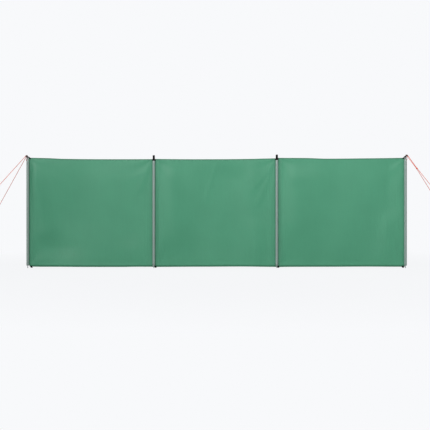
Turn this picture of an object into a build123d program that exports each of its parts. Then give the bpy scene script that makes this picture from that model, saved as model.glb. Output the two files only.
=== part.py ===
# Beach windbreak: three cloth bays on four poles, held up by guy lines at both ends.
# Millimetres. The origin is the centre of the left pole's ground spike, cut off at the ground.
# +X runs along the cloth, +Y points behind it, +Z is up.

import math
import os

from build123d import *

# Poles
bay_widths = (1634.0, 1596.0, 1668.0)
pole_diameter = 36.0
pole_wall = 1.0
foot_height = 34.0
pole_top_drop = 18.0

# Cloth: its top edge is at these heights at the four poles, and sags a little between them
cloth_top_heights = (1422.0, 1412.0, 1420.0, 1429.0)
cloth_bottom = 18.0
cloth_thickness = 2.0
cloth_bow = 14.0
top_edge_sag = 5.0
end_overlap = 4.0

# Binding tape folded over the edges, and the tape over the seams behind the inner poles
tape_thickness = 0.8
top_hem_depth = 10.0
bottom_hem_depth = 22.0
side_hem_width = 23.0
seam_tape_width = 52.0
seam_tape_thickness = 1.2

# Sides of what is kept to few faces: tight bends and small holes, steel rod, and cord
bend_sides = 12
rod_sides = 8
cord_sides = 6

# Clearances
soft_gap = 0.3
tape_gap = 0.15
plug_gap = 0.1

# Plugs in both ends of each tube, ribbed to this many corners
plug_depth = 30.0
plug_ribs = 8
plug_flange = 3.0
spike_diameter = 10.0

# Top fittings: a thin shouldered pin on the end poles, a thick cap on the inner ones
stem_diameter = 12.0
collar_diameter = 18.0
collar_thickness = 3.0
collar_rise = 11.0
pin_diameter = 9.0
pin_rise = 42.0
cap_diameter = 29.0
cap_rise = 50.0
cap_edge = 4.0

# Webbing: straps over the end pins, bands round the inner poles, peg loops on the bottom edge
webbing_thickness = 1.5
strap_height = 14.5
strap_sewn_height = 15.0
strap_edge_rise = 2.0
strap_sewn_start = 28.0
strap_sewn_end = 44.0
band_height = 22.0
band_foot = 5.0
loop_width = 25.0
loop_hole_diameter = 12.0
loop_ground_gap = 2.0
loop_sewn_height = 18.0
loop_offsets = (41.0, 21.0, 20.0, -31.0)

# Guy lines, the runners on them and the pegs that hold them
cord_diameter = 4.0
cord_gap = 0.3
knot_diameter = 8.4
knot_length = 8.0
eye_knot_diameter = 6.0
eye_levels = (6.0, 13.2)
peg_reach = (1040.0, 1035.0)
peg_spread = (940.0, 405.0)
runner_height = 260.0
hole_spacing = 11.0
runner_width = 12.0
runner_thickness = 3.0
runner_rim = 4.0
peg_diameter = 6.0
peg_loop_height = 28.0
peg_neck = 26.0
peg_hook_width = 12.0
peg_hook_drop = 18.0
peg_bend = 4.0

# Worked out from the sizes above
pole_radius = pole_diameter / 2
pole_x = [sum(bay_widths[:i]) for i in range(len(bay_widths) + 1)]
pole_top = [height - pole_top_drop for height in cloth_top_heights]
last_pole = len(pole_x) - 1
seam_front = pole_radius + soft_gap
cloth_front = seam_front + seam_tape_thickness + soft_gap
cloth_back = cloth_front + cloth_thickness
tape_front = cloth_front - tape_gap - tape_thickness
tape_back = cloth_back + tape_gap + tape_thickness
tape_cover = tape_gap + tape_thickness
band_drop = band_height + soft_gap
full_height = max(cloth_top_heights) * 2


def write(name, shape):
    """Write one piece to its own file."""
    shape.label = name
    export_step(shape, f"parts/{name}.step")


def few_sided(radius):
    """Polygon of few sides drawn round a circle of this radius."""
    return RegularPolygon(radius, bend_sides, major_radius=False)


# Cloth bays
# Each bay bows back from the line of the poles on one large circle.


def bow_circle(bay):
    """Radius of the bay's circle, and its centre behind the faces of the cloth."""
    chord = bay_widths[bay]
    radius = (chord ** 2 / 4 + cloth_bow ** 2) / (2 * cloth_bow)
    middle = pole_x[bay] + chord / 2
    return radius, middle, cloth_bow - radius


def cloth_ring(bay, front, back):
    """Tall ring whose near stretch lies between two faces of the bay, front and back."""
    radius, middle, centre = bow_circle(bay)
    ring = Circle(radius + back) - Circle(radius + front)
    return Pos(middle, centre, -1) * extrude(ring, amount=full_height)


def on_cloth(bay, x):
    """Place on the bowed bay at x: local X along the cloth, local Y behind it."""
    radius, middle, centre = bow_circle(bay)
    angle = math.asin((x - middle) / radius)
    return Pos(x, centre + radius * math.cos(angle), 0) * Rot(0, 0, -math.degrees(angle))


def front_prism(bay, x_start, x_end, bottom, top_shift, top_only=None):
    """Deep block with the bay's outline seen from the front, its top edge an arc that sags."""
    run = bay_widths[bay]
    left, right = cloth_top_heights[bay], cloth_top_heights[bay + 1]

    def top_at(x):
        share = (x - pole_x[bay]) / run
        sag = 4 * top_edge_sag * share * (1 - share)
        return left + (right - left) * share - sag + top_shift

    middle = (x_start + x_end) / 2
    top = [(x, top_at(x)) for x in (x_start, middle, x_end)]
    low = [(x, bottom if top_only is None else z - top_only) for x, z in top]
    edges = [ThreePointArc(*top), Line(top[2], low[2]), Line(low[0], top[0])]
    edges.append(Line(low[2], low[0]) if top_only is None else ThreePointArc(*low[::-1]))
    return extrude(Plane.XZ * make_face(edges), amount=10 * pole_diameter, both=True)


def bay_ends(bay):
    """Where the cloth of a bay starts and ends: behind the end poles, or at a seam."""
    start = pole_x[bay] + (end_overlap if bay == 0 else soft_gap / 2)
    end = pole_x[bay + 1] - (end_overlap if bay + 1 == last_pole else soft_gap / 2)
    return start, end


def panel(bay):
    """One bay of cloth."""
    start, end = bay_ends(bay)
    return cloth_ring(bay, cloth_front, cloth_back) & front_prism(bay, start, end, cloth_bottom, 0)


def cloth_with_gap(bay):
    """The bay's cloth grown by the clearance that the folded tape keeps to it."""
    start, end = bay_ends(bay)
    ring = cloth_ring(bay, cloth_front - tape_gap, cloth_back + tape_gap)
    bottom = cloth_bottom - tape_gap
    return ring & front_prism(bay, start - tape_gap, end + tape_gap, bottom, tape_gap)


def top_hem(bay):
    """Tape folded over the top edge of a bay."""
    start, end = bay_ends(bay)
    fold = cloth_ring(bay, tape_front, tape_back)
    fold &= front_prism(bay, start, end, 0, tape_cover, top_hem_depth + tape_cover)
    return fold - cloth_with_gap(bay)


def bottom_hem(bay):
    """Wider tape folded over the bottom edge of a bay."""
    start, end = bay_ends(bay)
    fold = cloth_ring(bay, tape_front, tape_back)
    fold &= front_prism(bay, start, end, cloth_bottom - tape_cover, 0)
    below = Pos((start + end) / 2, 0, cloth_bottom + bottom_hem_depth - full_height / 2)
    fold &= below * Box(end - start + pole_diameter, full_height, full_height)
    return fold - cloth_with_gap(bay)


def side_hem(bay, side):
    """Tape folded over the upright edge at one end of the windbreak, between the other tapes."""
    start, end = bay_ends(bay)
    outer, inner = (start - tape_cover, start + side_hem_width)
    if side > 0:
        outer, inner = (end - side_hem_width, end + tape_cover)
    bottom = cloth_bottom + bottom_hem_depth + soft_gap
    fold = cloth_ring(bay, tape_front, tape_back)
    fold &= front_prism(bay, outer, inner, bottom, -top_hem_depth - soft_gap)
    return fold - cloth_with_gap(bay)


def seam_tape(pole):
    """Tape over the seam behind an inner pole, from the bottom tape up to the pole's band."""
    bottom = cloth_bottom + bottom_hem_depth + soft_gap
    top = cloth_top_heights[pole] - band_drop - soft_gap
    centre = (pole_x[pole], seam_front + seam_tape_thickness / 2, (bottom + top) / 2)
    return Pos(*centre) * Box(seam_tape_width, seam_tape_thickness, top - bottom)


# Poles and the plugs in their ends


def tube(pole):
    """Steel tube of one pole."""
    ring = Circle(pole_radius) - Circle(pole_radius - pole_wall)
    return Pos(pole_x[pole], 0, foot_height) * extrude(ring, amount=pole_top[pole] - foot_height)


def turned(points):
    """Solid of revolution about Z through radius and height points, closed along the axis."""
    outline = Polyline(*points)
    axis_line = Line(outline @ 1, outline @ 0)
    return revolve(Plane.XZ * make_face([outline, axis_line]), Axis.Z)


def plug(bottom):
    """The ribbed body of a plug, standing inside the tube from this height up."""
    section = RegularPolygon(pole_radius - pole_wall - plug_gap, plug_ribs)
    return Pos(0, 0, bottom) * extrude(section, amount=plug_depth)


def foot_plug(pole):
    """Plug in the lower end of the tube, with the spike that stands in the ground."""
    flange_bottom = foot_height - plug_flange
    points = [
        (0, 0),
        (spike_diameter / 2, 0),
        (spike_diameter / 2, flange_bottom),
        (pole_radius, flange_bottom),
        (pole_radius, foot_height),
        (0, foot_height),
    ]
    return Pos(pole_x[pole], 0, 0) * (turned(points) + plug(foot_height))


def end_pin(pole):
    """Top fitting of an end pole: plug, stem, collar and the pin that carries strap and lines."""
    top = pole_top[pole]
    collar = cloth_top_heights[pole] + collar_rise
    tip = cloth_top_heights[pole] + pin_rise
    points = [
        (0, top),
        (pole_radius, top),
        (pole_radius, top + plug_flange),
        (stem_diameter / 2, top + plug_flange),
        (stem_diameter / 2, collar - collar_thickness),
        (collar_diameter / 2, collar - collar_thickness),
        (collar_diameter / 2, collar),
        (pin_diameter / 2, collar),
        (pin_diameter / 2, tip),
        (0, tip),
    ]
    return Pos(pole_x[pole], 0, 0) * (turned(points) + plug(top - plug_depth))


def inner_cap(pole):
    """Top fitting of an inner pole: plug, flange and a thick cap with a bevelled edge."""
    top = pole_top[pole]
    tip = cloth_top_heights[pole] + cap_rise
    points = [
        (0, top),
        (pole_radius, top),
        (pole_radius, top + plug_flange),
        (cap_diameter / 2, top + plug_flange),
        (cap_diameter / 2, tip - cap_edge),
        (cap_diameter / 2 - cap_edge, tip),
        (0, tip),
    ]
    return Pos(pole_x[pole], 0, 0) * (turned(points) + plug(top - plug_depth))


# Webbing


def loop_outline(eye, radius, mouth, half, length):
    """Eye narrowed to a mouth, and the straight space behind it: the mouth's X points there."""
    lip = mouth * Pos(webbing_thickness / 2, 0) * Rectangle(webbing_thickness, 2 * half)
    straight = mouth * Pos(length / 2, 0) * Rectangle(length, 2 * half)
    return make_hull((eye * few_sided(radius)).edges() + lip.edges()) + straight


def webbing_loop(eye, radius, mouth, half, length):
    """Plan of a webbing loop of even thickness, open at the far end of its two plies."""
    outer = loop_outline(eye, radius + webbing_thickness, mouth, half + webbing_thickness, length)
    return outer - loop_outline(eye, radius, mouth, half, 2 * length)


def strap(pole, bay, side):
    """Webbing loop from a top corner of the cloth, sewn to both faces, round the end pin."""
    inner_radius = pin_diameter / 2 + soft_gap
    outer_radius = inner_radius + webbing_thickness
    corner = on_cloth(bay, pole_x[pole] + side * strap_sewn_start)
    mouth = corner * Pos(0, (tape_front + tape_back) / 2) * Rot(0, 0, 90 - 90 * side)
    half = (tape_back - tape_front) / 2 + soft_gap
    sewn = strap_sewn_end - strap_sewn_start
    plan = webbing_loop(Pos(pole_x[pole], 0), inner_radius, mouth, half, sewn)
    loop = extrude(plan, amount=full_height)

    edge = cloth_top_heights[pole] + tape_cover
    pin_low = cloth_top_heights[pole] + collar_rise + soft_gap
    pin_high = pin_low + strap_height
    clear_of_collar = collar_diameter / 2 + soft_gap
    far_end = strap_sewn_end + outer_radius
    points = [
        (-side * outer_radius * 2, pin_low),
        (side * clear_of_collar, pin_low),
        (side * strap_sewn_start, edge + strap_edge_rise),
        (side * strap_sewn_start, edge - strap_sewn_height),
        (side * far_end, edge - strap_sewn_height),
        (side * far_end, edge),
        (side * strap_sewn_end, edge),
        (side * inner_radius, pin_high),
        (-side * outer_radius * 2, pin_high),
    ]
    profile = Pos(pole_x[pole], 0, 0) * (Plane.XZ * make_face(Polyline(*points, close=True)))
    return loop & extrude(profile, amount=2 * pole_diameter, both=True)


def pole_band(pole):
    """Webbing saddle round the front of an inner pole, sewn to the cloth on both sides."""
    inner = pole_radius + soft_gap
    outer = inner + webbing_thickness
    back = tape_front - soft_gap
    front_half = Pos(0, -outer / 2) * Rectangle(2 * outer, outer)
    plan = (Circle(outer) - Circle(inner)) & front_half
    for side in (-1, 1):
        leg = Pos(side * (inner + outer) / 2, back / 2)
        plan += leg * Rectangle(webbing_thickness, back)
        foot = Pos(side * (inner + band_foot / 2), back - webbing_thickness / 2)
        plan += foot * Rectangle(band_foot, webbing_thickness)
    base = cloth_top_heights[pole] - band_drop
    return Pos(pole_x[pole], 0, base) * extrude(plan, amount=band_height)


def peg_loop_place(pole):
    """Place of a peg loop on the bottom edge of the cloth beside a pole."""
    offset = loop_offsets[pole]
    bay = pole if offset > 0 else pole - 1
    return on_cloth(bay, pole_x[pole] + offset)


def peg_loop(pole):
    """Webbing loop for a peg, sewn to both faces of the bottom edge, with its hole along X."""
    hole_radius = loop_hole_diameter / 2
    middle = (tape_front + tape_back) / 2
    half = (tape_back - tape_front) / 2 + soft_gap
    eye = Pos(middle, loop_ground_gap + hole_radius + webbing_thickness)
    mouth = Pos(middle, cloth_bottom) * Rot(0, 0, 90)
    profile = webbing_loop(eye, hole_radius, mouth, half, loop_sewn_height)
    solid = extrude(Plane.YZ * profile, amount=loop_width / 2, both=True)
    return peg_loop_place(pole) * solid


# Guy lines, runners and pegs


def line_frame(end, side):
    """Plane of one guy line at its peg: local X up the line, local Z up the leaning peg."""
    pole = (0, last_pole)[end]
    outward = (-1, 1)[end]
    level = cloth_top_heights[pole] + pin_rise - eye_levels[0 if side < 0 else 1]
    pin = Vector(pole_x[pole], 0, level)
    ground = Vector(pole_x[pole] + outward * peg_reach[end], side * peg_spread[end], 0)
    away = (Vector(ground.X, ground.Y, 0) - Vector(pin.X, pin.Y, 0)).normalized()
    eye_radius = (pin_diameter + cord_diameter) / 2 + cord_gap
    top = pin + away * (eye_radius + cord_diameter / 2)
    rough = (top - ground).normalized()
    lean = (rough.cross(Vector(0, 0, 1))).cross(rough).normalized()
    low = ground + lean * peg_loop_height
    along = (top - low).normalized()
    lean = (along.cross(Vector(0, 0, 1))).cross(along).normalized()
    return Plane(origin=low, x_dir=along, z_dir=lean), pin, top, eye_radius


def bend_radius():
    """Radius of the line's middle where it goes round the peg."""
    return (peg_diameter + cord_diameter) / 2 + cord_gap


def knot(diameter):
    """Knot as a barrel of few sides along local X."""
    barrel = extrude(RegularPolygon(diameter / 2, cord_sides), amount=knot_length / 2, both=True)
    return Rot(0, 90, 0) * barrel


def guy_line(end, side):
    """Line with an eye on the pin, through the runner, round the peg and back to a knot."""
    plane, pin, top, eye_radius = line_frame(end, side)
    radius = bend_radius()
    length = (top - plane.origin).length
    return_y = 2 * hole_spacing
    knot_x = runner_height + (runner_thickness + knot_length) / 2 + cord_gap
    reach = math.hypot(knot_x, return_y - radius)
    turn = math.atan2(return_y - radius, knot_x) + math.acos(radius / reach)
    leaves = (radius * math.cos(turn), radius + radius * math.sin(turn))
    route = Line((length, 0), (0, 0))
    route += ThreePointArc((0, 0), (-radius, radius), leaves)
    route += Line(leaves, (knot_x, return_y))
    path = plane * route
    section = RegularPolygon(cord_diameter / 2, cord_sides)
    line = sweep(Plane(origin=top, z_dir=plane.origin - top) * section, path=path)
    eye = few_sided(eye_radius + cord_diameter / 2) - few_sided(eye_radius - cord_diameter / 2)
    line += Pos(*pin) * extrude(eye, amount=cord_diameter / 2, both=True)
    eye_knot_x = length + (cord_diameter - knot_length) / 2
    line += plane * Pos(eye_knot_x, 0, 0) * knot(eye_knot_diameter)
    line += plane * Pos(knot_x, return_y, 0) * knot(knot_diameter)
    return line


def runner(end, side):
    """Three-hole runner plate square to the line: the line slides in one end hole."""
    plane = line_frame(end, side)[0]
    holes = [(0, i * hole_spacing) for i in range(3)]
    plate = Rectangle(runner_width, 2 * (hole_spacing + cord_diameter + runner_rim))
    plate = Pos(0, hole_spacing) * chamfer(plate.vertices(), runner_rim)
    for x, y in holes:
        plate -= Pos(x, y) * few_sided(cord_diameter / 2 + cord_gap)
    solid = extrude(plate, amount=runner_thickness / 2, both=True)
    across = Plane(origin=(runner_height, 0, 0), x_dir=(0, 0, -1), z_dir=(1, 0, 0))
    return plane * (across * solid)


def peg(end, side):
    """Bent steel peg from the ground up, leaning away from the pole, with a hook on top."""
    plane = line_frame(end, side)[0]
    points = [
        (0, -3 * peg_loop_height),
        (0, peg_neck - peg_bend),
        (-peg_bend, peg_neck),
        (peg_bend - peg_hook_width, peg_neck),
        (-peg_hook_width, peg_neck - peg_bend),
        (-peg_hook_width, peg_neck - peg_hook_drop),
    ]
    upright = Plane(origin=(0, bend_radius(), 0), x_dir=(1, 0, 0), z_dir=(0, -1, 0))
    route = upright * Polyline(*points)
    section = Plane(origin=route @ 0, z_dir=route % 0) * RegularPolygon(peg_diameter / 2, rod_sides)
    rod = plane * sweep(section, path=route, transition=Transition.RIGHT)
    ground = Pos(plane.origin.X, plane.origin.Y, full_height / 2)
    return rod & (ground * Box(full_height, full_height, full_height))


def main():
    os.makedirs("parts", exist_ok=True)
    for bay in range(len(bay_widths)):
        write(f"cloth_panel_{bay + 1}", panel(bay))
        write(f"top_hem_{bay + 1}", top_hem(bay))
        write(f"bottom_hem_{bay + 1}", bottom_hem(bay))
    write("side_hem_left", side_hem(0, -1))
    write("side_hem_right", side_hem(last_pole - 1, 1))
    write("corner_strap_left", strap(0, 0, 1))
    write("corner_strap_right", strap(last_pole, last_pole - 1, -1))
    for pole in range(last_pole + 1):
        write(f"pole_tube_{pole + 1}", tube(pole))
        write(f"foot_spike_{pole + 1}", foot_plug(pole))
        write(f"peg_loop_{pole + 1}", peg_loop(pole))
        inner = 0 < pole < last_pole
        write(f"pole_top_{pole + 1}", inner_cap(pole) if inner else end_pin(pole))
        if inner:
            write(f"seam_tape_{pole + 1}", seam_tape(pole))
            write(f"pole_band_{pole + 1}", pole_band(pole))
    for end, end_name in enumerate(("left", "right")):
        for side, side_name in ((-1, "front"), (1, "back")):
            write(f"guy_line_{end_name}_{side_name}", guy_line(end, side))
            write(f"runner_{end_name}_{side_name}", runner(end, side))
            write(f"ground_peg_{end_name}_{side_name}", peg(end, side))


main()
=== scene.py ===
# Beach windbreak: the looks of its cloth, tapes, webbing, poles, guy lines and pegs.
# Metres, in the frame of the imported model: +X along the cloth, +Y behind it, +Z up.

import math

import bpy
import numpy as np
from bpy.props import FloatProperty, PointerProperty, StringProperty
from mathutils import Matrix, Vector


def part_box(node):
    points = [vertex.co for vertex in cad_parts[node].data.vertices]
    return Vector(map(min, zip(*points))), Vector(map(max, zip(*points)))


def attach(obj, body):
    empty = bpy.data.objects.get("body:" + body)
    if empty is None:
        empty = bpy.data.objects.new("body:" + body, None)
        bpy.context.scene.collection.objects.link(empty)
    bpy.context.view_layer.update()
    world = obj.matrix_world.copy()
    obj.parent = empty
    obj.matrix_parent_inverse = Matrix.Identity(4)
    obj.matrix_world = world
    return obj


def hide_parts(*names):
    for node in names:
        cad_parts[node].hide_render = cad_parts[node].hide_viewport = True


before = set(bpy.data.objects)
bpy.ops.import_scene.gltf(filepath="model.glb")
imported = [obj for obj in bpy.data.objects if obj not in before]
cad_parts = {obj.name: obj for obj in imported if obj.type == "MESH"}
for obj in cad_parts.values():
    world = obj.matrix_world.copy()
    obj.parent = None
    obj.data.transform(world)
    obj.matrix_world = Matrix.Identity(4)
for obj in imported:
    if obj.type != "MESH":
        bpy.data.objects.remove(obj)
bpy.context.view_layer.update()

bl_info = {
    "name": "Beach windbreak",
    "version": (1, 0, 0),
    "blender": (4, 5, 0),
    "location": "3D View > Sidebar > Windbreak",
    "description": "Dresses the frame of a beach windbreak with cloth, webbing, poles and lines",
    "category": "Object",
}

MM = 0.001
BAYS = (1, 2, 3)
POLES = (1, 2, 3, 4)
INNER_POLES = (2, 3)
END_POLES = {"left": 1, "right": 4}
END_BAYS = {"left": 1, "right": 3}
OUTWARD = {"left": -1, "right": 1}
SIDES = {"front": -1, "back": 1}
# Front and back face of the cloth
FACES = (-1, 1)

# Heights of the fittings above the top edge of the cloth at their pole
PIN_RISE = 42 * MM
CAP_RISE = 50 * MM
COLLAR_RISE = 11 * MM
# The eyes of the lines, this far below the tip of their pin
EYE_LEVELS = {"front": 6.2 * MM, "back": 12.6 * MM}
# The pull of the lines has bent the tip of each end pin outward
PIN_LEAN = 13 * MM

# Fittings of the poles. The plugs are less in radius than their tube by the inset.
TUBE_WALL = 1.0 * MM
PLUG_INSET = 1.4 * MM
FLANGE = 3 * MM
SPIKE_RADIUS = 5 * MM
STEM_RADIUS = 6 * MM
COLLAR_RADIUS = 9 * MM
PIN_RADIUS = 4.5 * MM
CAP_RADIUS = 14.5 * MM
# Gap between cord or webbing and what it goes round
CLEARANCE = 0.3 * MM
# Turned solids leave this at their axis, so that no edge there has no length
NEAR_AXIS = 0.01 * MM

# Lift of each bay's top edge over an even sag, and height of its bottom edge, in mm by share of its width
TOP_LIFT = {
    1: ((0.0, 7.8), (0.13, 7.6), (0.30, 0.6), (0.45, 0.0), (1.0, 0.0)),
    2: ((0.0, 1.8), (0.22, 0.8), (0.80, 0.0), (0.90, 2.4), (1.0, 2.6)),
    3: ((0.0, 8.2), (0.21, 8.0), (0.40, -0.4), (0.70, 0.7), (1.0, 0.2)),
}
BOTTOM_HEIGHT = {
    1: ((0.0, 17.0), (0.12, 14.2), (0.45, 11.8), (0.75, 12.2), (0.86, 15.0), (1.0, 15.0)),
    2: ((0.0, 13.0), (0.40, 15.0), (0.72, 17.2), (1.0, 13.4)),
    3: ((0.0, 12.2), (0.12, 14.0), (0.40, 14.4), (0.70, 16.8), (1.0, 15.6)),
}

# Folds of each bay: a ridge from one point to another, in metres from its left pole and from the ground,
# how wide it is, and how many mm it stands forward (minus is a hollow)
FOLDS = {
    1: (((0.07, 1.24), (0.21, 0.50), 0.120, 36.8), ((0.46, -0.10), (0.44, 0.56), 0.300, -39.1),
        ((1.60, 1.34), (1.45, 1.03), 0.034, 2.99), ((1.62, 1.30), (1.28, 1.14), 0.050, 1.84),
        ((1.38, 0.02), (1.36, 0.22), 0.100, 10.35), ((0.70, 0.25), (0.86, 1.10), 0.200, 6.9),
        ((1.20, 0.10), (1.28, 1.20), 0.160, 5.75), ((0.10, 1.38), (0.42, 1.12), 0.045, 2.3)),
    2: (((0.22, 1.46), (0.25, 0.45), 0.140, 27.6), ((0.92, 1.34), (0.94, 0.06), 0.280, -17.25),
        ((1.28, 1.20), (1.26, 0.30), 0.140, 9.2), ((1.58, 1.38), (1.36, 0.86), 0.034, 3.91),
        ((1.57, 1.34), (1.28, 1.02), 0.030, 2.3), ((1.34, 0.04), (1.34, 0.50), 0.100, 12.65),
        ((0.80, 1.34), (0.68, 0.90), 0.030, 2.53), ((0.04, 0.04), (0.26, 0.14), 0.035, -4.6)),
    3: (((0.21, 1.48), (0.24, 0.62), 0.140, 21.85), ((0.46, 1.44), (0.46, 0.60), 0.300, 19.55),
        ((1.46, 1.44), (1.46, 0.80), 0.095, -14.95), ((1.43, 0.50), (1.42, 0.02), 0.110, 9.2),
        ((1.64, 1.36), (1.36, 1.16), 0.060, 1.15), ((0.05, 0.04), (0.30, 0.13), 0.035, -4.6),
        ((0.04, 1.38), (0.22, 1.12), 0.034, 2.3), ((1.20, 1.10), (1.16, 0.30), 0.120, 4.6)),
}

# Upright creases from packing: their distance from the right pole of the bay, width and depth
CREASES = {1: (69 * MM, 105 * MM), 2: (55 * MM,)}
CREASE_WIDTH = 9 * MM
CREASE_DEPTH = 1.3 * MM
# Tension folds that fan out from each corner: how far they reach, their depth, and how many of them
# a full circle would hold, at the top corners and at the bottom ones
FAN_REACH = 160 * MM
FAN_DEPTH = 1.3 * MM
FAN_COUNTS = (9, 7)
# Upright pleats beside each pole: place, width, pitch and depth
PLEAT_PLACE = 85 * MM
PLEAT_WIDTH = 35 * MM
PLEAT_PITCH = 37 * MM
PLEAT_DEPTH = 0.5 * MM
# Ridge on the right of each inner pole, and ridge over the bottom hem: place, width and height
SEAM_RIDGE = (66 * MM, 22 * MM, 3.6 * MM)
HEM_RIDGE = (29 * MM, 9 * MM, 2.6 * MM)
# The peg loop draws the lower left corner of the windbreak inward: how far, and over what height and width
CORNER_TUCK = 16 * MM
TUCK_HEIGHT = 75 * MM
TUCK_WIDTH = 140 * MM

# How far out and aside each end's pegs stand, from the pole
PEG_REACH = {"left": 1.040, "right": 1.035}
PEG_SPREAD = {"left": 0.940, "right": 0.405}
# The two lines of the right end lie side by side down to a knot this far from the pin
JOINED = {"left": 0.0, "right": 0.215}
# Along a line from its peg: where it meets the peg above the ground, and where its runner sits
LOOP_HEIGHT = 28 * MM
RUNNER_HEIGHT = 260 * MM
# Runner plate, with three holes in a row
HOLE_SPACING = 11 * MM
HOLE_RADIUS = 3.3 * MM
RUNNER_HALF_WIDTH = 6 * MM
RUNNER_END = 9 * MM
RUNNER_CORNER = 4.5 * MM
RUNNER_EDGE = 0.5 * MM
RUNNER_HALF_FLAT = 0.95 * MM
# Peg: height of its top over the line, reach and drop of its hook, and radius of its bends
PEG_NECK = 26 * MM
PEG_HOOK = 12 * MM
PEG_DROP = 18 * MM
PEG_BEND = 5.5 * MM
ROD_SIDES = 16


# Sizes and colours that a user would change


def length(name, description, value):
    """One length property."""
    return FloatProperty(name=name, description=description, default=value, subtype="DISTANCE", unit="LENGTH")


class WindbreakSizes(bpy.types.PropertyGroup):
    """Sizes of the cloth, tapes, webbing and cord"""

    bow: length("Bow", "How far each bay bows back between its poles", 14 * MM)
    sag: length("Top sag", "How far the top edge sags in the middle of a bay", 5 * MM)
    fold_depth: length("Fold depth", "Depth of the long soft waves in the cloth", 4.5 * MM)
    cloth: length("Cloth", "Thickness of the cloth", 0.6 * MM)
    tape: length("Tape", "Thickness of the binding tape", 0.8 * MM)
    top_hem: length("Top hem", "Depth of the tape on the top edge", 10 * MM)
    bottom_hem: length("Bottom hem", "Depth of the tape on the bottom edge", 22 * MM)
    side_hem: length("Side hem", "Width of the tape on the end edges", 23 * MM)
    seam_tape: length("Seam tape", "Width of the tape behind an inner pole", 52 * MM)
    webbing: length("Webbing", "Thickness of the webbing", 1.5 * MM)
    stitch: length("Stitch", "From one stitch to the next", 5 * MM)
    cord: length("Cord", "Diameter of the guy lines", 6 * MM)
    peg: length("Peg", "Diameter of the pegs", 6 * MM)


def colour(name, description, value):
    """One colour property, kept as a hex value."""
    return StringProperty(name=name, description=description, default=value)


class WindbreakColours(bpy.types.PropertyGroup):
    """Colours of the finishes and of the background, as sRGB hex values"""

    cloth: colour("Cloth", "Green of the cloth", "#468d6e")
    # Partly painted shade: darker than the cloth to stand for the shade under the hem's fold
    tape: colour("Tape", "Green of the binding tape", "#3b755a")
    # Painted light: a touch lighter than the cloth, to offset the shadow the poles cast beside them
    strip: colour("Strip", "Cloth strip over the seams", "#4a9072")
    thread: colour("Thread", "Sewing thread in the cloth and tape", "#3f7a60")
    webbing: colour("Webbing", "Webbing of the straps, bands and loops", "#0e100e")
    tube: colour("Tube", "Powder coat of the poles", "#869892")
    zinc: colour("Zinc", "Zinc on spikes and pegs", "#b4b8ba")
    pin: colour("Pin", "Black coating of the end pins", "#1b1412")
    plastic: colour("Plastic", "Caps and runners", "#0d0c0c")
    cord: colour("Cord", "Guy lines", "#dc4708")
    background: colour("Background", "Floor and backdrop", "#f8f9fb")


def linear(text):
    """Linear colour of an sRGB hex value."""
    parts = [int(text[i:i + 2], 16) / 255 for i in (1, 3, 5)]
    return tuple(c / 12.92 if c <= 0.04045 else ((c + 0.055) / 1.055) ** 2.4 for c in parts) + (1.0,)


def shade(text, factor):
    """Linear colour of a hex value, made lighter or darker."""
    return tuple(min(1.0, c * factor) for c in linear(text)[:3]) + (1.0,)


# Materials


def add(owner, kind, inputs=None, **settings):
    """Add one node to a material or world. Inputs are values, or sockets of other nodes that feed them."""
    made = owner.node_tree.nodes.new(kind)
    for key, value in settings.items():
        setattr(made, key, value)
    for key, value in (inputs or {}).items():
        if isinstance(value, bpy.types.NodeSocket):
            owner.node_tree.links.new(value, made.inputs[key])
        else:
            made.inputs[key].default_value = value
    return made


def start(name):
    """New material and its surface shader."""
    material = bpy.data.materials.new(name)
    material.use_nodes = True
    return material, material.node_tree.nodes["Principled BSDF"]


def band_scale(pitch):
    """Scale of a wave texture whose bands repeat at this pitch in metres."""
    return 0.1 * math.pi / pitch


def grain_scale(size):
    """Scale of a noise texture whose grains are this large in metres."""
    return 1 / size


def finish_with(material, shader, colour_socket, bump_heights, roughness=None, **values):
    """Feed the surface shader its colour, its bumps one on another, its roughness and its plain values."""
    link = material.node_tree.links.new
    link(colour_socket, shader.inputs["Base Color"])
    if roughness is not None:
        link(roughness, shader.inputs["Roughness"])
    inputs = {}
    for height, distance, strength in bump_heights:
        inputs.update(Height=height, Distance=distance, Strength=strength)
        inputs["Normal"] = add(material, "ShaderNodeBump", inputs).outputs["Normal"]
    link(inputs["Normal"], shader.inputs["Normal"])
    for key, value in values.items():
        shader.inputs[key.replace("_", " ")].default_value = value


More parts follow.
